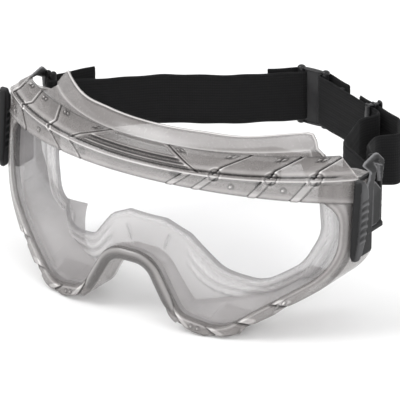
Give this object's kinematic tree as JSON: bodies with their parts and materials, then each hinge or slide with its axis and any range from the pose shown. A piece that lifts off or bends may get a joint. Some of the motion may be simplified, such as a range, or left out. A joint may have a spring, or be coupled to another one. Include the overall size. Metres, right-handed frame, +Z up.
{
  "type": "safety goggles",
  "caption": "Panoramic safety goggles with a wraparound clear lens, soft translucent frame with a brow flap, and an elastic headband on tilting side clips.",
  "frame": {"origin": "midway between the two upper front corners of the frame, at the height of the front ridge", "axes": "+X the wearer's left, -Y forward (the way the wearer looks), +Z up"},
  "size_m": [0.179, 0.128, 0.082],
  "materials": {
    "soft_frame": "translucent smoky grey, satin",
    "clear_lens": "clear, polished",
    "clip_plastic": "fine matte",
    "pin_plastic": "smooth",
    "webbing": "woven elastic",
    "thread": "dense stitching",
    "buckle_plastic": "polished"
  },
  "bodies": {
    "goggle": {"frame_body": "soft_frame", "face_seal": "soft_frame", "lens": "clear_lens", "upper_vent_baffle": "soft_frame", "lower_vent_cover_left": "soft_frame", "lower_vent_cover_right": "soft_frame", "clip_base_left": "clip_plastic", "clip_base_right": "clip_plastic", "pivot_pin_left": "pin_plastic", "pivot_pin_right": "pin_plastic", "grip_pad_left": "clip_plastic", "grip_pad_right": "clip_plastic"},
    "headband": {"clip_arm_left": "clip_plastic", "clip_arm_right": "clip_plastic", "strap_left": "webbing", "strap_right": "webbing", "strap_tacks": "thread", "rear_buckle": "buckle_plastic"},
    "slider": {"strap_slider": "buckle_plastic"}
  },
  "joints": [
    {"name": "headband_tilt", "type": "hinge", "parent": "goggle", "child": "headband", "pos_m": [0, 0.0035, -0.017], "axis": [1, 0, 0], "range_deg": [-12, 6]},
    {"name": "slider_slide", "type": "slide", "parent": "headband", "child": "slider", "axis": [-0.9078, 0.4195, 0], "range_m": [0, 0.008]}
  ]
}
